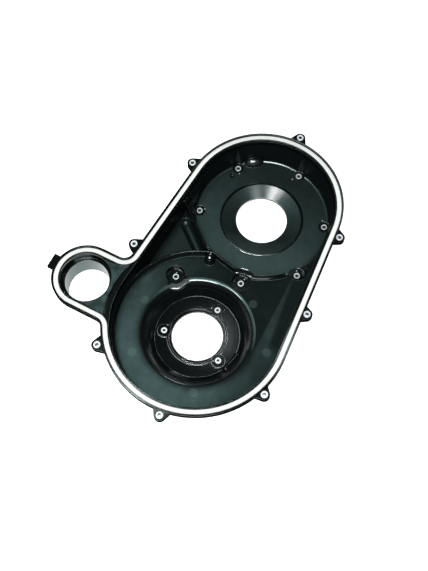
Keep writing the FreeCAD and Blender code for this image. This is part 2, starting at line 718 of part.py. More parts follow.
# The dish about the large bore and the funnel about the small one
RING_TOP = size("plate_floor") + size("ring_height")
RING_SHELF = size("plate_floor") - size("ring_shelf_drop")
BELOW = -1.0
turned(housing, "Groove", "dish", [
    (0.0, DISH_FLOOR + 0.5), (DISH_RADIUS, DISH_FLOOR + 0.5), (DISH_RADIUS, DISH_FLOOR),
    (PLATE_RADIUS, size("plate_floor")), (RING_RADIUS, size("plate_floor")),
    (RING_RADIUS, RING_TOP), (RING_SHELF_RADIUS, RING_TOP),
    (RING_SHELF_RADIUS, RING_SHELF), (size("large_bore_radius"), RING_SHELF),
    (size("large_bore_radius"), PLATE_UNDER - 1.0), (LARGE_COLLAR, PLATE_UNDER - 1.0),
    (LARGE_COLLAR, BELOW), (0.0, BELOW)], centre_x=LARGE_X)
FUNNEL_EDGE = FUNNEL_RADIUS + size("funnel_groove") / 2.0
GROOVE_INSIDE = FUNNEL_RADIUS - size("funnel_groove") / 2.0
GROOVE_BED = SMALL_FLOOR - size("funnel_groove_depth")
turned(housing, "Groove", "funnel", [
    (0.0, SMALL_FLOOR + 0.5), (FUNNEL_EDGE, SMALL_FLOOR + 0.5), (FUNNEL_EDGE, GROOVE_BED),
    (GROOVE_INSIDE, GROOVE_BED), (GROOVE_INSIDE, SMALL_FLOOR - size("funnel_step")),
    (size("small_bore_radius"), THROAT), (size("small_bore_radius"), BELOW), (0.0, BELOW)])
doc.recompute()
funnel_edge = level_edges(housing.Tip, SMALL_FLOOR, lambda c: math.hypot(c.x, c.y) < FUNNEL_RADIUS.value / 2)
fillet(housing, "funnel_edge_round", funnel_edge, size("funnel_edge_fillet"))
doc.recompute()
dish_edge = level_edges(housing.Tip, DISH_FLOOR,
                        lambda c: math.hypot(c.x - LARGE_X.value, c.y) < DISH_RADIUS.value + 1.0)
fillet(housing, "dish_edge_round", dish_edge, size("dish_fillet"))
disc_pad("ears", HUB_INSERTS, size("ear_radius"), RING_TOP, size("plate_floor") - 1.0)

# Post with a flared foot and a domed top at the end of the arc rib
POST = by_large_rim(22.8, 18.0)
POST_RADIUS = size("post_radius")
DOME_CENTRE = size("post_top") - POST_RADIUS
shape_pad("post", lambda sketch: add_circle(sketch, POST[0], POST[1], POST_RADIUS),
          DOME_CENTRE, DISH_FLOOR - 1.0, size("post_flare"))
ball("post_dome", POST[0], POST[1], DOME_CENTRE, POST_RADIUS - 0.01)

# Rounded finger along the foot of the dish wall
FINGER_ENDS = [from_large(PLATE_RADIUS.value + 2.5, -113.0), from_large(PLATE_RADIUS.value + 3.5, -93.0)]
rod("wall_finger", FINGER_ENDS, size("finger_height"), size("finger_radius"), "Additive")


def hump(name, points, middle, sweep):
    """A low rounded ridge: a (radius, height) outline swept about the small-end axis, angles in degrees."""
    profile = new_sketch(housing, name + "_profile", "XZ_Plane")
    profile.AttachmentOffset = Placement(Vector(0, 0, 0), Rotation(Vector(0, 1, 0), middle))
    add_polygon(profile, points)
    feature = housing.newObject("PartDesign::Revolution", name)
    feature.Profile = profile
    feature.Refine = False
    feature.ReferenceAxis = (profile, ["V_Axis"])
    feature.Midplane = True
    feature.Angle = sweep


# Ridge along the small pocket between the two wells
RIDGE = size("small_end_radius") - size("straight_rib_inset") + size("ridge_offset")
RIDGE_TOP = DISH_FLOOR + size("ridge_height")
RIDGE_MIDDLE, RIDGE_SWEEP = -149.0, 27.0
hump("pocket_ridge", [(RIDGE, DISH_FLOOR - 1.0), (RIDGE, RIDGE_TOP - 0.5), (RIDGE + 1.5, RIDGE_TOP),
                      (RIDGE + 4.5, RIDGE_TOP - 0.5), (RIDGE + 7.0, RIDGE_TOP - 2.0),
                      (RIDGE + 8.5, DISH_FLOOR - 1.0)], RIDGE_MIDDLE, RIDGE_SWEEP)


def rounded_boss(name, centre, radius, top, bottom, round_edge):
    """A round boss with a rounded top edge."""
    profile = new_sketch(housing, name + "_profile", "XZ_Plane", shift=as_size(centre[0]))
    bind(profile, ".AttachmentOffset.Base.z", as_size(-centre[1]))
    side, crown, foot = radius.value, top.value, bottom.value
    small = round_edge.value
    profile.addGeometry([line((0, foot), (side, foot)), line((side, foot), (side, crown - small)),
                         arc(side - small, crown - small, small, 0, math.pi / 2),
                         line((side - small, crown), (0, crown)), line((0, crown), (0, foot))], False)
    for one, point, other, its_point in ((0, 2, 1, 1), (3, 2, 4, 1), (4, 2, 0, 1)):
        constrain(profile, "Coincident", one, point, other, its_point)
    constrain(profile, "Coincident", 1, 2, 2, 1)
    constrain(profile, "Coincident", 2, 2, 3, 1)
    place_point(profile, 0, 1, as_size(0.0), bottom)
    place_point(profile, 0, 2, radius, bottom)
    place_point(profile, 1, 2, radius, top - round_edge)
    constrain(profile, "DistanceX", -1, 1, 2, 3, radius - round_edge)
    place_point(profile, 3, 1, radius - round_edge, top)
    place_point(profile, 3, 2, as_size(0.0), top)
    feature = housing.newObject("PartDesign::Revolution", name)
    feature.Profile = profile
    feature.Refine = False
    feature.ReferenceAxis = (profile, ["V_Axis"])
    feature.Angle = FULL_TURN


# Bosses of the two wells in the dish floor, bulging into the recess
BOSS_TOP = DISH_FLOOR - size("well_boss_drop")
for number, centre in enumerate(DISH_SLEEVES, 1):
    rounded_boss("well_boss_%d" % number, centre, size("well_boss_radius"), BOSS_TOP, DISH_SEAT - THICK,
                 size("well_boss_round"))
MOUTH = by_large_rim(60.3, 47.3)
disc_pocket("well_mouth", [MOUTH], size("well_mouth_radius"), DISH_FLOOR, BOSS_TOP)

# Domed bulge at the foot of the small-end wall with a blind pit beside it
BULGE_ANGLE = 33.0
BULGE = by_small_rim(22.4, BULGE_ANGLE)
bulge = housing.newObject("PartDesign::AdditiveEllipsoid", "bulge")
bulge.Angle1 = 0
bulge.Refine = False
bulge.Placement = Placement(Vector(0, 0, 0), Rotation(Vector(0, 0, 1), BULGE_ANGLE))
for prop, length in (("Radius1", size("bulge_height")), ("Radius2", size("bulge_depth")),
                     ("Radius3", size("bulge_width")), (".Placement.Base.x", as_size(BULGE[0])),
                     (".Placement.Base.y", as_size(BULGE[1])), (".Placement.Base.z", SMALL_FLOOR - 1.0)):
    bind(bulge, prop, length)
PIT = by_small_rim(35.5, 57.2)
disc_pad("pit_boss", [PIT], size("pit_radius") + size("pit_wall"), SMALL_UNDER + 1.0, SMALL_UNDER - 6.0)
disc_pocket("pit", [PIT], size("pit_radius"), SMALL_FLOOR, SMALL_UNDER - 2.0)

# Sleeve wells, wall reliefs and holes
disc_pocket("edge_well", [EDGE_SLEEVE], size("well_radius") + 1.0, DISH_FLOOR, SEAT, INWARD)
WELL_LEAN = as_size(0.0) - size("well_draft")
disc_pocket("dish_wells", DISH_SLEEVES, size("well_radius") + 1.5, DISH_FLOOR, DISH_SEAT, WELL_LEAN)
RELIEF_TOP = SMALL_FLOOR + 46.0
disc_pocket("reliefs", SMALL_SLEEVES, size("relief_radius"), RELIEF_TOP, SEAT)
disc_pocket("sleeve_holes", SMALL_SLEEVES + [EDGE_SLEEVE], size("sleeve_radius"), SEAT, as_size(BELOW))
disc_pocket("dish_sleeve_holes", DISH_SLEEVES, size("sleeve_radius"), DISH_SEAT, as_size(BELOW))
disc_pocket("hub_holes", HUB_INSERTS, size("hub_insert_radius"), RING_TOP, as_size(BELOW))

# Duct socket and its tube
disc_pocket("socket", DUCT, SOCKET_RADIUS, INNER_LIP_TOP, SHELF)
disc_pocket("duct_bore", DUCT, size("duct_bore_radius"), SHELF, SHELF - size("duct_tube_length") - 1.0)
PARTITION = size("large_end_radius") - size("partition")
shape_pocket("partition_line", draw_sector(PARTITION, PARTITION + size("partition_groove"), 77.0, 112.0),
             CORNER_FLOOR, CORNER_FLOOR - size("partition_groove_depth"))

# Seal groove, lowered inner lip and the lug holes
def draw_band(outer, inner):
    def draw(sketch):
        add_outline(sketch, outer)
        add_outline(sketch, inner)
    return draw


shape_pocket("seal_groove", draw_band(size("outer_lip"), GROOVE_INNER), RIM_TOP, RIM_TOP - size("groove_depth"))
shape_pocket("lip_step", draw_band(GROOVE_INNER - 0.5, RIM_WIDTH + 2.0), RIM_TOP, INNER_LIP_TOP)
LUG_CENTRES = [place for place, degrees in LUGS]
disc_pocket("lug_holes", LUG_CENTRES, size("lug_insert_radius"), RIM_TOP, LUG_BOTTOM - 1.0)

# Rim seal, lying in the groove with a small clearance on both sides
CLEAR = size("seal_clearance")
GROOVE_FLOOR = RIM_TOP - size("groove_depth")
seal = new_body("rim_seal")
seal_plan = new_sketch(seal, "seal_plan", height=GROOVE_FLOOR)
draw_band(size("outer_lip") + CLEAR, GROOVE_INNER - CLEAR)(seal_plan)
pad(seal, "seal_strip", seal_plan, size("seal_height"))
doc.recompute()
fillet(seal, "seal_round", level_edges(seal.Tip, GROOVE_FLOOR + size("seal_height")), size("seal_fillet"))


def turned_bush(name, centre, radius, hole, bottom, top, chamfer):
    """A plain metal bush with a bevelled mouth, stood at centre."""
    body = new_body(name)
    x, y = as_size(centre[0]), as_size(centre[1])
    bind(body, ".Placement.Base.x", x)
    bind(body, ".Placement.Base.y", y)
    turned_profile = new_sketch(body, name + "_profile", "XZ_Plane")
    add_polygon(turned_profile, [(hole, bottom), (radius, bottom), (radius, top - chamfer),
                                 (radius - chamfer, top), (hole + chamfer, top), (hole, top - chamfer)])
    bush = body.newObject("PartDesign::Revolution", name + "_turning")
    bush.Profile = turned_profile
    bush.ReferenceAxis = (turned_profile, ["V_Axis"])
    bush.Angle = FULL_TURN
    return body


BEVEL = as_size(0.5)
PROUD = size("lug_insert_proud")
nodes = [housing, seal]
for number, centre in enumerate(LUG_CENTRES, 1):
    nodes.append(turned_bush("rim_insert_%d" % number, centre, size("lug_insert_radius"),
                             size("lug_insert_hole_radius"), LUG_BOTTOM, LUG_TOP + PROUD, BEVEL))
seats = [(centre, SEAT) for centre in SMALL_SLEEVES + [EDGE_SLEEVE]]
seats += [(centre, DISH_SEAT) for centre in DISH_SLEEVES]
for number, (centre, seat) in enumerate(seats, 1):
    nodes.append(turned_bush("mount_sleeve_%d" % number, centre, size("sleeve_radius"),
                             size("sleeve_hole_radius"), as_size(0.0), seat + size("sleeve_proud"), BEVEL))
for number, centre in enumerate(HUB_INSERTS, 1):
    nodes.append(turned_bush("hub_insert_%d" % number, centre, size("hub_insert_radius"),
                             size("hub_insert_hole_radius"), as_size(0.0), RING_TOP + size("sleeve_proud"), BEVEL))

doc.recompute()
for item in doc.Objects:
    if "Invalid" in item.State or "Error" in item.State:
        raise RuntimeError("%s is %s" % (item.Name, item.State))
os.makedirs("parts", exist_ok=True)
for node in nodes:
    shape = node.Shape
    if shape.isNull() or not shape.isValid() or len(shape.Solids) != 1:
        raise RuntimeError("%s is not one sound solid" % node.Label)
    shape.exportStep("parts/%s.step" % node.Label)
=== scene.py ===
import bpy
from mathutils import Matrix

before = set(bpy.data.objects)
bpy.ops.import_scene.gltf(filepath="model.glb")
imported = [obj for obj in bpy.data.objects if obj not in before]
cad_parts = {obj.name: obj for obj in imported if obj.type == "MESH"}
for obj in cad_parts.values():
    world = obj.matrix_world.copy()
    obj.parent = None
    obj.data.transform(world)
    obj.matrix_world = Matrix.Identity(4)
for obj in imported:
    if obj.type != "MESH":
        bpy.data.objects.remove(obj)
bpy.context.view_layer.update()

import math
from types import SimpleNamespace

import bpy
from mathutils import Quaternion, Vector

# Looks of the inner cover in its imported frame. Metres. Z is up, +X runs to the small end.

# Upright axes
SMALL_CENTRE = (0.0, 0.0)
LARGE_CENTRE = (-0.254, 0.0)
DUCT_CENTRE = (-0.2675, 0.205)
BULGE_CENTRE = (0.0998, 0.0648)

# Heights of the level floors and edges
PLATE_FLOOR = 0.009
SMALL_FLOOR = 0.016
TRIANGLE_FLOOR = 0.022
DISH_FLOOR = 0.034
CREST_HEIGHT = 0.0305
RIDGE_HEIGHT = 0.0361
DUCT_SHELF = 0.0615
CORNER_FLOOR = 0.076
RIM_EDGE = 0.0775
OUTER_LIP = 0.0803

# Distances from the axis of the small bore
FUNNEL_RADIUS = 0.0732
FUNNEL_GROOVE_RADIUS = 0.0746
FUNNEL_EDGE_RADIUS = 0.0748
POCKET_WALL_RADIUS = 0.1235
SMALL_FLOOR_RADIUS = 0.125
RIDGE_RADIUS = 0.1295

# Distances from the axis of the large bore
PLATE_RADIUS = 0.0735
SLOPE_RADIUS = 0.083
CREST_RADIUS = 0.0925
DISH_WALL_RADIUS = 0.144

# Distances from the axes of the duct and the domed bulge
DUCT_TUBE_RADIUS = 0.0390
DUCT_SOCKET_RADIUS = 0.0445
BULGE_RADIUS = 0.021

# The long wall beside the duct leans towards the small end
LONG_WALL_SLOPE = 0.0654
LONG_WALL_REACH = 0.1265

# Ejector marks on the dish floor: distance from the large bore's axis in metres and angle in degrees
EJECTOR_MARKS = [(0.1075, 84.6), (0.1087, -35.7), (0.1076, -155.1), (0.1244, -80.5), (0.1153, 136.0)]
EJECTOR_RADIUS = 0.0075

# Painted highlights: tiny bright spots beside the sleeves and inserts, standing in for small glints
GLINT_SPOTS = [(0.0671, 0.0792), (0.1015, -0.0152), (-0.0294, 0.1027), (0.0469, -0.1016), (-0.0659, -0.1018),
          (-0.1267, -0.0276), (-0.1703, 0.0853), (-0.2604, 0.0546), (-0.1976, 0.0013), (-0.2824, -0.0459)]
GLINT_RADIUS = 0.0009

# Colours of the plastic
DARK = (0.0016, 0.0023, 0.0024, 1.0)
PALE = (0.0026, 0.0036, 0.0035, 1.0)
MARK = (0.013, 0.020, 0.019, 1.0)
# Painted sheen: a lighter grey on the outer lip towards the far end, standing in for light it catches
LIP_SHEEN_GREY = (0.030, 0.033, 0.031, 1.0)
# Painted highlight: near-white colour of the small glint spots
GLINT_WHITE = (0.45, 0.47, 0.47, 1.0)
# Painted highlight: a pale colour on the near edges of the funnel and the ring plate
EDGE_HIGHLIGHT_GREY = (0.55, 0.58, 0.58, 1.0)
WALL_TINT = (0.86, 1.0, 0.99, 1.0)
FLOOR_TINT = (0.62, 1.0, 0.97, 1.0)

# Roughness of the plastic
POLISH = 0.11
DISH_ROUGH = 0.41
POCKET_ROUGH = 0.53
CONE_ROUGH = 0.37
LOW_FLOOR_ROUGH = 0.42
TROUGH_ROUGH = 0.36
CREST_ROUGH = 0.22
BULGE_ROUGH = 0.33
WALL_ROUGH = 0.30
COAT_ROUGH = 0.13

# Sheen of the plastic, as a specular level
PLAIN_SHEEN = 0.5
TRIANGLE_SHEEN = 0.26
WALL_SHEEN = 0.09
SOCKET_SHEEN = 0.15
TUBE_SHEEN = 0.7
EDGE_SHEEN = 0.95
SLOPE_SHEEN = 0.14
RIDGE_SHEEN = 0.12
TROUGH_SHEEN = 0.42
PLATE_SHEEN = 0.05
FUNNEL_SHEEN = 0.08
WEDGE_SHEEN = 0.32
BAND_SHEEN = 0.10

# Colours of the seal and the metal
FOAM = (0.56, 0.57, 0.55, 1.0)
FOAM_STAIN = (0.50, 0.51, 0.485, 1.0)
# Painted shade: the metal's upright faces get a dark colour and its level tops a bright one
METAL_LIT_TOP = (0.60, 0.64, 0.65, 1.0)
METAL_SHADED_WALL = (0.06, 0.065, 0.07, 1.0)

# Lamps: name, place, width, height, power and colour, each aimed at the part's middle
PART_MIDDLE = (-0.13, 0.03, 0.03)
LAMPS = [("key", (0.41, 0.33, 2.2), 0.16, 0.16, 2.6, (1.0, 1.0, 1.0)),
         ("second", (0.47, 0.0, 2.2), 0.16, 0.16, 0.6, (0.9, 1.0, 1.0)),
         ("haze", (-0.30, 0.55, 2.0), 0.4, 0.4, 15.0, (0.9, 1.0, 1.0)),
         ("front", (-1.3, -0.35, 2.0), 1.3, 1.3, 86.0, (1.0, 1.0, 1.0)),
         ("far", (2.6, 0.75, 0.95), 0.8, 0.6, 56.0, (0.95, 1.0, 1.0))]

# Camera: degrees, metres, and millimetres for the lens
CAMERA_AZIMUTH = -61.569
CAMERA_ELEVATION = 67.283
CAMERA_ROLL = -1.109
CAMERA_TARGET = (-0.15677, 0.01753, 0.010)
CAMERA_DISTANCE = 1.32858
CAMERA_LENS = 46.943
SENSOR_WIDTH = 36.0


def node(tree, kind, **settings):
    """A shader node with its input values and properties set by name."""
    made = tree.nodes.new(kind)
    for name, value in settings.items():
        if name in made.inputs:
            made.inputs[name].default_value = value
        else:
            setattr(made, name, value)
    return made


def new_material(name):
    material = bpy.data.materials.new(name)
    material.use_nodes = True
    material.node_tree.nodes.clear()
    return material, material.node_tree


def link(tree, start, end):
    tree.links.new(start, end)


def noise(tree, place, scale, detail=4.0, roughness=0.6):
    made = node(tree, "ShaderNodeTexNoise", Scale=scale, Detail=detail, Roughness=roughness)
    link(tree, place, made.inputs["Vector"])
    return made.outputs["Fac"]


def map_range(tree, value, low, high, to_low, to_high):
    made = node(tree, "ShaderNodeMapRange")
    for index, number in zip((1, 2, 3, 4), (low, high, to_low, to_high)):
        made.inputs[index].default_value = number
    link(tree, value, made.inputs[0])
    return made.outputs[0]


def rise(tree, value, low, high):
    """0 up to the low value, 1 from the high one on, with a ramp between."""
    return map_range(tree, value, low, high, 0.0, 1.0)


def below(tree, value, limit, soft=0.0004):
    """1 under the limit and 0 over it, with a soft edge."""
    return map_range(tree, value, limit - soft, limit + soft, 1.0, 0.0)


def calculate(tree, operation, *values):
    """A Math node; each value is a number or a socket."""
    made = node(tree, "ShaderNodeMath", operation=operation)
    for socket, value in zip(made.inputs, values):
        if isinstance(value, (int, float)):
            socket.default_value = value
        else:
            link(tree, value, socket)
    return made.outputs[0]


def product(tree, first, *others):
    for value in others:
        first = calculate(tree, "MULTIPLY", first, value)
    return first


def highest(tree, first, *others):
    for value in others:
        first = calculate(tree, "MAXIMUM", first, value)
    return first


def outside(tree, mask):
    """The opposite of a mask."""
    return calculate(tree, "SUBTRACT", 1.0, mask)


def near(tree, value, middle, reach, soft=0.0004):
    """1 where a value lies within reach of the middle."""
    gap = calculate(tree, "ABSOLUTE", calculate(tree, "SUBTRACT", value, middle))
    return below(tree, gap, reach, soft)


def mix(tree, kind, factor, first, second):
    """A Mix node of floats or colours; first and second are constants or sockets."""
    socket_type = {"FLOAT": "VALUE", "RGBA": "RGBA"}[kind]
    made = node(tree, "ShaderNodeMix", data_type=kind)
    link(tree, factor, made.inputs["Factor"])
    for name, value in (("A", first), ("B", second)):
        socket = next(s for s in made.inputs if s.name == name and s.type == socket_type)
        if isinstance(value, (float, tuple)):
            socket.default_value = value
        else:
            link(tree, value, socket)
    return next(s for s in made.outputs if s.type == socket_type)


def mix_value(tree, factor, first, second):
    return mix(tree, "FLOAT", factor, first, second)


def mix_color(tree, factor, first, second):
    return mix(tree, "RGBA", factor, first, second)


def split(tree, vector):
    """The three parts of a vector."""
    made = node(tree, "ShaderNodeSeparateXYZ")
    link(tree, vector, made.inputs[0])
    return made.outputs["X"], made.outputs["Y"], made.outputs["Z"]


def radius_from(tree, place, centre):
    """Level distance of a point from an upright axis."""
    flat = node(tree, "ShaderNodeVectorMath", operation="MULTIPLY")
    flat.inputs[1].default_value = (1.0, 1.0, 0.0)
    link(tree, place, flat.inputs[0])
    reach = node(tree, "ShaderNodeVectorMath", operation="DISTANCE")
    reach.inputs[1].default_value = (centre[0], centre[1], 0.0)
    link(tree, flat.outputs[0], reach.inputs[0])
    return reach.outputs["Value"]


def round_spots(tree, place, centres, radius, soft):
    """1 inside small upright discs."""
    total = 0.0
    for centre in centres:
        total = calculate(tree, "ADD", total, below(tree, radius_from(tree, place, centre), radius, soft))
    return total


def ejector_centres():
    centres = []
    for reach, degrees in EJECTOR_MARKS:
        angle = math.radians(degrees)
        centres.append((LARGE_CENTRE[0] + reach * math.cos(angle), LARGE_CENTRE[1] + reach * math.sin(angle)))
    return centres


def plastic_zones(tree, place, lean):
    """Masks of the moulding's areas, from heights, level distances and how level the surface lies."""
    x, y, z = split(tree, place)
    from_small = radius_from(tree, place, SMALL_CENTRE)
    from_large = radius_from(tree, place, LARGE_CENTRE)
    from_duct = radius_from(tree, place, DUCT_CENTRE)
    zone = SimpleNamespace(x=x, y=y, z=z, from_large=from_large)
    zone.far_side = rise(tree, x, -0.245, -0.205)

    # Floors
    zone.dish = near(tree, z, DISH_FLOOR, 0.0008)
    funnel_groove = near(tree, from_small, FUNNEL_GROOVE_RADIUS, 0.0022)
    zone.small_floor = product(tree, near(tree, z, SMALL_FLOOR, 0.0008),
                               below(tree, from_small, SMALL_FLOOR_RADIUS), outside(tree, funnel_groove))
    zone.corner = near(tree, z, CORNER_FLOOR, 0.0006)
    zone.triangle = near(tree, z, TRIANGLE_FLOOR, 0.0006)

    # The trough lies between both round walls, inside the long wall beside the duct
    across = calculate(tree, "MULTIPLY_ADD", x, LONG_WALL_SLOPE, y)
    zone.trough = product(tree, outside(tree, below(tree, from_small, POCKET_WALL_RADIUS, 0.0006)),
                          outside(tree, below(tree, from_large, DISH_WALL_RADIUS, 0.0006)),
                          below(tree, z, TRIANGLE_FLOOR - 0.0003), below(tree, across, LONG_WALL_REACH),
                          below(tree, x, -0.03, 0.002), rise(tree, y, 0.068, 0.072))

    # Funnel, ridge and bulge at the small end
    zone.cone = product(tree, below(tree, from_small, FUNNEL_RADIUS), below(tree, z, SMALL_FLOOR - 0.0005))
    zone.far_funnel = product(tree, funnel_groove, rise(tree, x, 0.0, 0.03))
    zone.ridge = product(tree, near(tree, from_small, RIDGE_RADIUS, 0.0065),
                         near(tree, z, RIDGE_HEIGHT, 0.0017))
    zone.bulge = product(tree, below(tree, radius_from(tree, place, BULGE_CENTRE), BULGE_RADIUS, 0.001),
                         rise(tree, z, SMALL_FLOOR + 0.0012, SMALL_FLOOR + 0.0016))

    # Recess and ring plate at the large end
    zone.slope = product(tree, near(tree, from_large, SLOPE_RADIUS, 0.0085), below(tree, z, 0.0315))
    zone.crest = product(tree, near(tree, from_large, CREST_RADIUS, 0.008),
                         near(tree, z, CREST_HEIGHT, 0.0035, 0.001))
    plate = product(tree, below(tree, z, PLATE_FLOOR + 0.0036), below(tree, from_large, PLATE_RADIUS))
    zone.flat_plate = product(tree, plate, rise(tree, lean, 0.985, 0.998))

    # Duct
    zone.tube = below(tree, from_duct, DUCT_TUBE_RADIUS, 0.0002)
    zone.socket = product(tree, below(tree, from_duct, DUCT_SOCKET_RADIUS, 0.0002),
                          rise(tree, z, DUCT_SHELF, DUCT_SHELF + 0.001), outside(tree, zone.tube))

    # Upright walls and rounded edges
    zone.wall = map_range(tree, lean, 0.10, 0.22, 1.0, 0.0)
    zone.edge = product(tree, rise(tree, lean, 0.25, 0.4), map_range(tree, lean, 0.93, 0.97, 1.0, 0.0),
                        below(tree, z, RIM_EDGE), outside(tree, zone.slope))
    # Painted highlights: the near edges of the funnel and of the ring plate get a pale, partly metallic
    # colour that stands in for glints
    near_funnel = calculate(tree, "ADD", product(tree, x, -0.985), product(tree, y, -0.174))
    worn_funnel = product(tree, near(tree, from_small, FUNNEL_EDGE_RADIUS, 0.0014),
                          rise(tree, near_funnel, 0.056, 0.068))
    worn_plate = product(tree, plate, map_range(tree, x, -0.25, -0.27, 0.0, 0.5))
    zone.worn = product(tree, highest(tree, worn_funnel, worn_plate), zone.edge)
    # Painted sheen: the top of the outer lip turns lighter towards the far end
    zone.far_lip = product(tree, rise(tree, z, OUTER_LIP, OUTER_LIP + 0.0005), rise(tree, x, -0.05, 0.09))
    return zone


def plastic_colour(tree, place, zone):
    marks = round_spots(tree, place, ejector_centres(), EJECTOR_RADIUS, 0.0006)
    marks = product(tree, marks, zone.dish)
    # Painted highlights: small near-white spots standing in for glints
    glints = round_spots(tree, place, GLINT_SPOTS, GLINT_RADIUS, 0.0003)
    colour = mix_color(tree, noise(tree, place, 9.0, 3.0), DARK, PALE)
    # Painted light: the glint spots, the far lip's sheen and the edge highlights are painted into the colour;
    # the ejector marks are the floor's own
    for mask, tone in ((marks, MARK), (glints, GLINT_WHITE), (zone.far_lip, LIP_SHEEN_GREY), (zone.worn, EDGE_HIGHLIGHT_GREY)):
        colour = mix_color(tree, mask, colour, tone)
    return colour


def plastic_roughness(tree, zone, scuff):
    """Polished edges, softer walls, and grained floors and funnel."""
    rough = map_range(tree, scuff, 0.3, 0.7, POLISH - 0.02, POLISH + 0.03)
    for mask, level, spread in ((zone.dish, DISH_ROUGH, 0.03), (zone.small_floor, POCKET_ROUGH, 0.03),
                                (zone.cone, CONE_ROUGH, 0.02)):
        grained = map_range(tree, scuff, 0.3, 0.7, level - spread, level + 0.03)
        rough = mix_value(tree, mask, rough, grained)
    low_floor = highest(tree, zone.corner, zone.triangle)
    low_wall = product(tree, zone.wall, below(tree, zone.z, 0.060))
    for mask, level in ((low_floor, LOW_FLOOR_ROUGH), (zone.trough, TROUGH_ROUGH), (zone.crest, CREST_ROUGH),
                        (zone.bulge, BULGE_ROUGH), (low_wall, WALL_ROUGH)):
        rough = mix_value(tree, mask, rough, level)
    return rough


def dish_sheen(tree, place, zone):
    """The floor's sheen fades across the dish, with a brighter wedge beside the long wall."""
    across = calculate(tree, "SUBTRACT", product(tree, zone.x, 0.8), product(tree, zone.y, 0.6))
    fade = map_range(tree, across, -0.25, -0.11, 0.45, 0.09)
    wedge = mix_value(tree, below(tree, zone.y, -0.103, 0.0012), fade, WEDGE_SHEEN)
    band_edge = calculate(tree, "MULTIPLY_ADD", zone.x, 0.125, -0.0931)
    band = below(tree, calculate(tree, "SUBTRACT", zone.y, band_edge), 0.0, 0.003)
    wedge = mix_value(tree, product(tree, band, rise(tree, zone.x, -0.235, -0.215)), wedge, BAND_SHEEN)
    level = mix_value(tree, rise(tree, zone.x, -0.28, -0.22), fade, wedge)
    by_recess = mix_value(tree, zone.far_side, map_range(tree, zone.from_large, 0.094, 0.109, 0.10, 1.0),
                          map_range(tree, zone.from_large, 0.096, 0.120, 0.55, 1.0))
    cloud = map_range(tree, noise(tree, place, 26.0, 3.0), 0.35, 0.65, 0.78, 1.15)
    return product(tree, level, by_recess, cloud)


def plastic_sheen(tree, place, zone, scuff):
    """How strongly each area of the moulding reflects."""
    small_floor = map_range(tree, zone.x, -0.03, 0.10, 0.62, 0.25)
    sheen = mix_value(tree, zone.small_floor, PLAIN_SHEEN, small_floor)
    sheen = mix_value(tree, zone.dish, sheen, dish_sheen(tree, place, zone))
    sheen = mix_value(tree, zone.triangle, sheen, TRIANGLE_SHEEN)
    patches = map_range(tree, noise(tree, place, 75.0, 2.0, 0.5), 0.4, 0.6, 0.30, 0.66)
    sheen = mix_value(tree, zone.corner, sheen, patches)
    sheen = product(tree, sheen, map_range(tree, scuff, 0.3, 0.7, 0.85, 1.15))
    wall_sheen = map_range(tree, zone.z, 0.064, 0.068, WALL_SHEEN, 0.0)
    wall_sheen = mix_value(tree, zone.socket, wall_sheen, SOCKET_SHEEN)
    wall_sheen = mix_value(tree, zone.tube, wall_sheen, TUBE_SHEEN)
    crest_sheen = map_range(tree, zone.far_side, 0.0, 1.0, 0.05, 1.0)
    for mask, level in ((zone.wall, wall_sheen), (zone.edge, EDGE_SHEEN), (zone.slope, SLOPE_SHEEN),
                        (zone.crest, crest_sheen), (zone.ridge, RIDGE_SHEEN), (zone.trough, TROUGH_SHEEN),
                        (zone.flat_plate, PLATE_SHEEN), (zone.far_funnel, FUNNEL_SHEEN)):
        sheen = mix_value(tree, mask, sheen, level)
    return sheen


def plastic_gloss(tree, zone):
    """A clear coat on rounded edges, on the funnel and on the far side of the recess's crest."""
    gloss = product(tree, zone.edge, outside(tree, zone.crest), outside(tree, zone.ridge),
                    outside(tree, zone.trough), outside(tree, zone.far_funnel))
    return highest(tree, gloss, zone.cone, product(tree, zone.crest, zone.far_side))


def black_plastic():
    material, tree = new_material("black_plastic")
    place = node(tree, "ShaderNodeTexCoord").outputs["Object"]
    edges = node(tree, "ShaderNodeBevel", samples=6, Radius=0.0012)
    lean = calculate(tree, "ABSOLUTE", split(tree, edges.outputs["Normal"])[2])
    zone = plastic_zones(tree, place, lean)
    grained = highest(tree, zone.dish, zone.small_floor, zone.cone)
    tinted = highest(tree, grained, zone.corner, zone.triangle, zone.trough, zone.tube, zone.socket)
    scuff = noise(tree, place, 60.0, 6.0, 0.7)
    shader = node(tree, "ShaderNodeBsdfPrincipled")
    shader.inputs["Coat Roughness"].default_value = COAT_ROUGH
    link(tree, plastic_colour(tree, place, zone), shader.inputs["Base Color"])
    link(tree, plastic_roughness(tree, zone, scuff), shader.inputs["Roughness"])
    link(tree, plastic_sheen(tree, place, zone, scuff), shader.inputs["Specular IOR Level"])
    link(tree, mix_color(tree, tinted, WALL_TINT, FLOOR_TINT), shader.inputs["Specular Tint"])
    link(tree, plastic_gloss(tree, zone), shader.inputs["Coat Weight"])
    # Painted highlight: the near edges are made partly metallic so they shine brighter
    link(tree, product(tree, zone.worn, 0.65), shader.inputs["Metallic"])
    bump = node(tree, "ShaderNodeBump", Distance=0.0004)
    link(tree, map_range(tree, grained, 0.0, 1.0, 0.03, 0.10), bump.inputs["Strength"])
    link(tree, noise(tree, place, 900.0, 5.0), bump.inputs["Height"])
    link(tree, edges.outputs["Normal"], bump.inputs["Normal"])
    link(tree, bump.outputs["Normal"], shader.inputs["Normal"])
    out = node(tree, "ShaderNodeOutputMaterial")
    link(tree, shader.outputs["BSDF"], out.inputs["Surface"])
    return material


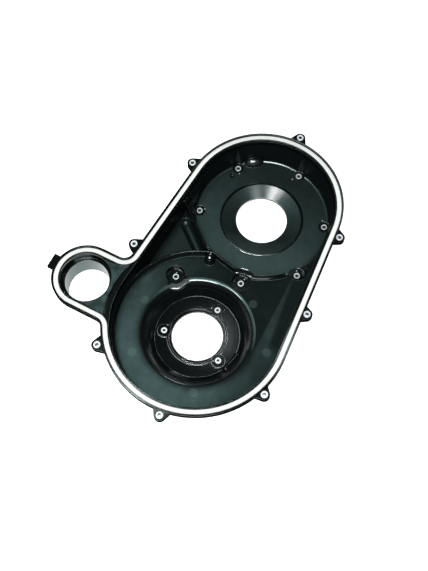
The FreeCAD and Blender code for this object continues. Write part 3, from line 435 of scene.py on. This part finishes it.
def foam_seal():
    material, tree = new_material("foam_seal")
    place = node(tree, "ShaderNodeTexCoord").outputs["Object"]
    stain = rise(tree, noise(tree, place, 22.0, 3.0), 0.35, 0.7)
    shader = node(tree, "ShaderNodeBsdfPrincipled", Roughness=0.7)
    link(tree, mix_color(tree, stain, FOAM, FOAM_STAIN), shader.inputs["Base Color"])
    bump = node(tree, "ShaderNodeBump", Strength=0.35, Distance=0.0006)
    link(tree, noise(tree, place, 420.0, 6.0, 0.7), bump.inputs["Height"])
    link(tree, bump.outputs["Normal"], shader.inputs["Normal"])
    out = node(tree, "ShaderNodeOutputMaterial")
    link(tree, shader.outputs["BSDF"], out.inputs["Surface"])
    return material


def bright_metal():
    """Zinc-plated steel, with painted shade: its upright faces, as inside the holes, are coloured dark."""
    material, tree = new_material("insert_metal")
    place = node(tree, "ShaderNodeTexCoord").outputs["Object"]
    facing = split(tree, node(tree, "ShaderNodeNewGeometry").outputs["Normal"])[2]
    # Painted shade: dark on upright faces, bright on faces that look up
    level = rise(tree, facing, 0.3, 0.6)
    marks = noise(tree, place, 700.0, 4.0)
    shader = node(tree, "ShaderNodeBsdfPrincipled", Metallic=0.75)
    link(tree, mix_color(tree, level, METAL_SHADED_WALL, METAL_LIT_TOP), shader.inputs["Base Color"])
    link(tree, map_range(tree, marks, 0.3, 0.7, 0.46, 0.60), shader.inputs["Roughness"])
    out = node(tree, "ShaderNodeOutputMaterial")
    link(tree, shader.outputs["BSDF"], out.inputs["Surface"])
    return material


def dress():
    """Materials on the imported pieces. Their shapes and places stay as they are."""
    plastic, seal, metal = black_plastic(), foam_seal(), bright_metal()
    own = {"housing": plastic, "rim_seal": seal}
    for name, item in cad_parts.items():
        item.data.materials.clear()
        item.data.materials.append(own.get(name, metal))


def add_floor():
    """A white ground that keeps a soft shadow; a metal or polished face reflects it as white too."""
    bpy.ops.mesh.primitive_plane_add(size=14.0, location=(0.0, 0.0, -0.0001))
    floor = bpy.context.object
    floor.name = "floor"
    material, tree = new_material("floor_white")
    ray = node(tree, "ShaderNodeLightPath")
    dim = node(tree, "ShaderNodeBsdfDiffuse")
    dim.inputs["Color"].default_value = (0.8, 0.8, 0.8, 1.0)
    white = node(tree, "ShaderNodeBsdfDiffuse")
    white.inputs["Color"].default_value = (0.9, 0.9, 0.9, 1.0)
    glow = node(tree, "ShaderNodeEmission", Strength=0.6)
    bright = node(tree, "ShaderNodeAddShader")
    link(tree, white.outputs[0], bright.inputs[0])
    link(tree, glow.outputs[0], bright.inputs[1])
    shown = highest(tree, ray.outputs["Is Camera Ray"], ray.outputs["Is Glossy Ray"])
    both = node(tree, "ShaderNodeMixShader")
    link(tree, shown, both.inputs[0])
    link(tree, dim.outputs[0], both.inputs[1])
    link(tree, bright.outputs[0], both.inputs[2])
    out = node(tree, "ShaderNodeOutputMaterial")
    link(tree, both.outputs[0], out.inputs["Surface"])
    floor.data.materials.append(material)


def add_lamp(name, place, width, height, power, colour):
    light = bpy.data.lights.new(name, "AREA")
    light.shape = "RECTANGLE"
    light.size = width
    light.size_y = height
    light.energy = power
    light.color = colour
    item = bpy.data.objects.new(name, light)
    item.location = place
    item.rotation_mode = "QUATERNION"
    item.rotation_quaternion = (Vector(PART_MIDDLE) - Vector(place)).to_track_quat("-Z", "Y")
    bpy.context.scene.collection.objects.link(item)


def add_world():
    """White behind the part, and a faint cool fill everywhere else."""
    world = bpy.data.worlds.new("studio")
    bpy.context.scene.world = world
    world.use_nodes = True
    tree = world.node_tree
    tree.nodes.clear()
    ray = node(tree, "ShaderNodeLightPath")
    seen = node(tree, "ShaderNodeBackground", Strength=1.0)
    seen.inputs["Color"].default_value = (1.0, 1.0, 1.0, 1.0)
    fill = node(tree, "ShaderNodeBackground", Strength=0.03)
    fill.inputs["Color"].default_value = (0.85, 0.93, 1.0, 1.0)
    both = node(tree, "ShaderNodeMixShader")
    link(tree, ray.outputs["Is Camera Ray"], both.inputs[0])
    link(tree, fill.outputs[0], both.inputs[1])
    link(tree, seen.outputs[0], both.inputs[2])
    out = node(tree, "ShaderNodeOutputWorld")
    link(tree, both.outputs[0], out.inputs["Surface"])


def add_camera():
    """The camera of the photo, worked out from the rims and bores that are circles."""
    azimuth, elevation = math.radians(CAMERA_AZIMUTH), math.radians(CAMERA_ELEVATION)
    back = Vector((math.sin(azimuth) * math.cos(elevation), -math.cos(azimuth) * math.cos(elevation),
                   math.sin(elevation)))
    camera = bpy.data.cameras.new("camera")
    camera.sensor_width = SENSOR_WIDTH
    camera.lens = CAMERA_LENS
    item = bpy.data.objects.new("camera", camera)
    item.location = Vector(CAMERA_TARGET) + back * CAMERA_DISTANCE
    item.rotation_mode = "QUATERNION"
    roll = Quaternion((0.0, 0.0, 1.0), math.radians(CAMERA_ROLL))
    item.rotation_quaternion = (-back).to_track_quat("-Z", "Y") @ roll
    bpy.context.scene.collection.objects.link(item)
    bpy.context.scene.camera = item


dress()
add_floor()
add_world()
for lamp in LAMPS:
    add_lamp(*lamp)
add_camera()
bpy.context.scene.view_settings.view_transform = "Standard"
